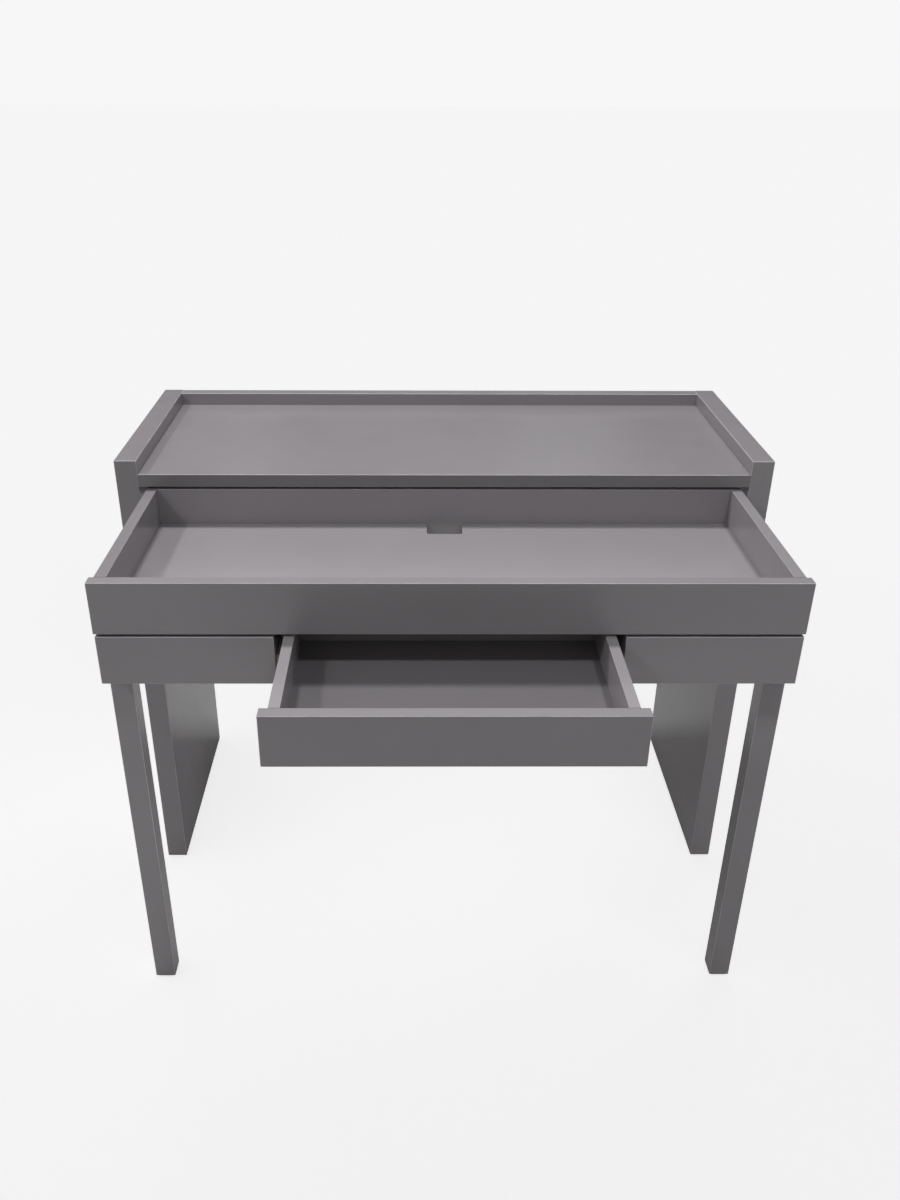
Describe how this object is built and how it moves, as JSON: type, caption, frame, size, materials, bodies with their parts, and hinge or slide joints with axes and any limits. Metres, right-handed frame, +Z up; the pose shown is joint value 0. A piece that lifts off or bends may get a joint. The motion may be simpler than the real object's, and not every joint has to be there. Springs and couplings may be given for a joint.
{
  "type": "console table with pull-out writing desk",
  "caption": "Grey console table with slab sides and a rimmed top; a shallow tray desk on square front legs slides out from under it, with a small drawer in the middle.",
  "frame": {"origin": "on the floor, in the middle of the footprint as the desk and drawer stand open", "axes": "+Z up, -Y towards the user and the way the desk and the drawer open, +X to the user's right; X = 0 is the plane of symmetry"},
  "size_m": [1.01, 0.882, 0.78],
  "materials": {
    "grey_lacquer": "satin warm-grey lacquer on board, fine orange peel",
    "grey_lacquer_inside": "the same grey lacquer, thinner and duller, on the hidden rails",
    "beech": "plain beech",
    "glide_plastic": "dark matte plastic",
    "runner_enamel": "pale powder coat",
    "nylon": "natural nylon",
    "slide_steel": "bright zinc plate",
    "cage_plastic": "black plastic",
    "ball_steel": "polished steel",
    "cam_zinc": "die-cast zinc",
    "screw_steel": "zinc-plated steel"
  },
  "bodies": {
    "console": {"left_side_panel": "grey_lacquer", "right_side_panel": "grey_lacquer", "top_board": "grey_lacquer", "back_panel": "grey_lacquer", "side_panel_glides": "glide_plastic", "carcass_dowels": "beech", "cam_discs": "cam_zinc", "cam_bolts": "cam_zinc", "left_slide_outer_member": "slide_steel", "right_slide_outer_member": "slide_steel", "slide_console_screws": "screw_steel"},
    "slide_middles": {"left_slide_middle_member": "slide_steel", "right_slide_middle_member": "slide_steel"},
    "outer_cages": {"outer_ball_cages": "cage_plastic", "outer_balls": "ball_steel"},
    "inner_cages": {"inner_ball_cages": "cage_plastic", "inner_balls": "ball_steel"},
    "desk": {"left_slide_inner_member": "slide_steel", "right_slide_inner_member": "slide_steel", "slide_desk_screws": "screw_steel", "desk_front": "grey_lacquer", "left_desk_side": "grey_lacquer", "right_desk_side": "grey_lacquer", "desk_back": "grey_lacquer", "desk_surface": "grey_lacquer", "desk_dowels": "beech", "left_apron": "grey_lacquer", "right_apron": "grey_lacquer", "left_front_rail": "grey_lacquer_inside", "right_front_rail": "grey_lacquer_inside", "left_side_rail": "grey_lacquer_inside", "right_side_rail": "grey_lacquer_inside", "left_divider": "grey_lacquer_inside", "right_divider": "grey_lacquer_inside", "left_leg": "grey_lacquer", "right_leg": "grey_lacquer", "left_corner_block": "beech", "right_corner_block": "beech", "rear_rail": "grey_lacquer_inside", "box_dowels": "beech", "apron_screws": "screw_steel", "leg_bolts": "screw_steel", "leg_glides": "glide_plastic", "left_fixed_runner": "runner_enamel", "right_fixed_runner": "runner_enamel", "fixed_runner_screws": "screw_steel", "front_roller_axles": "screw_steel"},
    "front_rollers": {"front_rollers": "nylon"},
    "drawer": {"drawer_front": "grey_lacquer", "left_drawer_side": "grey_lacquer", "right_drawer_side": "grey_lacquer", "drawer_back": "grey_lacquer", "drawer_bottom": "grey_lacquer", "drawer_dowels": "beech", "left_moving_runner": "runner_enamel", "right_moving_runner": "runner_enamel", "moving_runner_screws": "screw_steel", "rear_roller_axles": "screw_steel"},
    "rear_rollers": {"rear_rollers": "nylon"}
  },
  "joints": [
    {"name": "desk_slide", "type": "slide", "parent": "console", "child": "desk", "axis": [0, -1, 0], "range_m": [-0.32, 0]},
    {"name": "slide_middle_travel", "type": "slide", "parent": "console", "child": "slide_middles", "axis": [0, -1, 0], "range_m": [-0.16, 0]},
    {"name": "outer_cage_travel", "type": "slide", "parent": "console", "child": "outer_cages", "axis": [0, -1, 0], "range_m": [-0.08, 0]},
    {"name": "inner_cage_travel", "type": "slide", "parent": "console", "child": "inner_cages", "axis": [0, -1, 0], "range_m": [-0.24, 0]},
    {"name": "drawer_slide", "type": "slide", "parent": "desk", "child": "drawer", "axis": [0, -1, 0], "range_m": [-0.184, 0]},
    {"name": "front_roller_spin", "type": "hinge", "parent": "desk", "child": "front_rollers", "pos_m": [0, -0.2251, 0.602], "axis": [1, 0, 0], "range_deg": [-1080, 10]},
    {"name": "rear_roller_spin", "type": "hinge", "parent": "drawer", "child": "rear_rollers", "pos_m": [0, -0.1849, 0.602], "axis": [1, 0, 0], "range_deg": [-1080, 10]}
  ],
  "couplings": [
    {"joint": "slide_middle_travel", "follows": "desk_slide", "ratio": 0.5},
    {"joint": "outer_cage_travel", "follows": "desk_slide", "ratio": 0.25},
    {"joint": "inner_cage_travel", "follows": "desk_slide", "ratio": 0.75},
    {"joint": "front_roller_spin", "follows": "drawer_slide", "rad_per_m": 101.01},
    {"joint": "rear_roller_spin", "follows": "drawer_slide", "rad_per_m": 101.01}
  ]
}
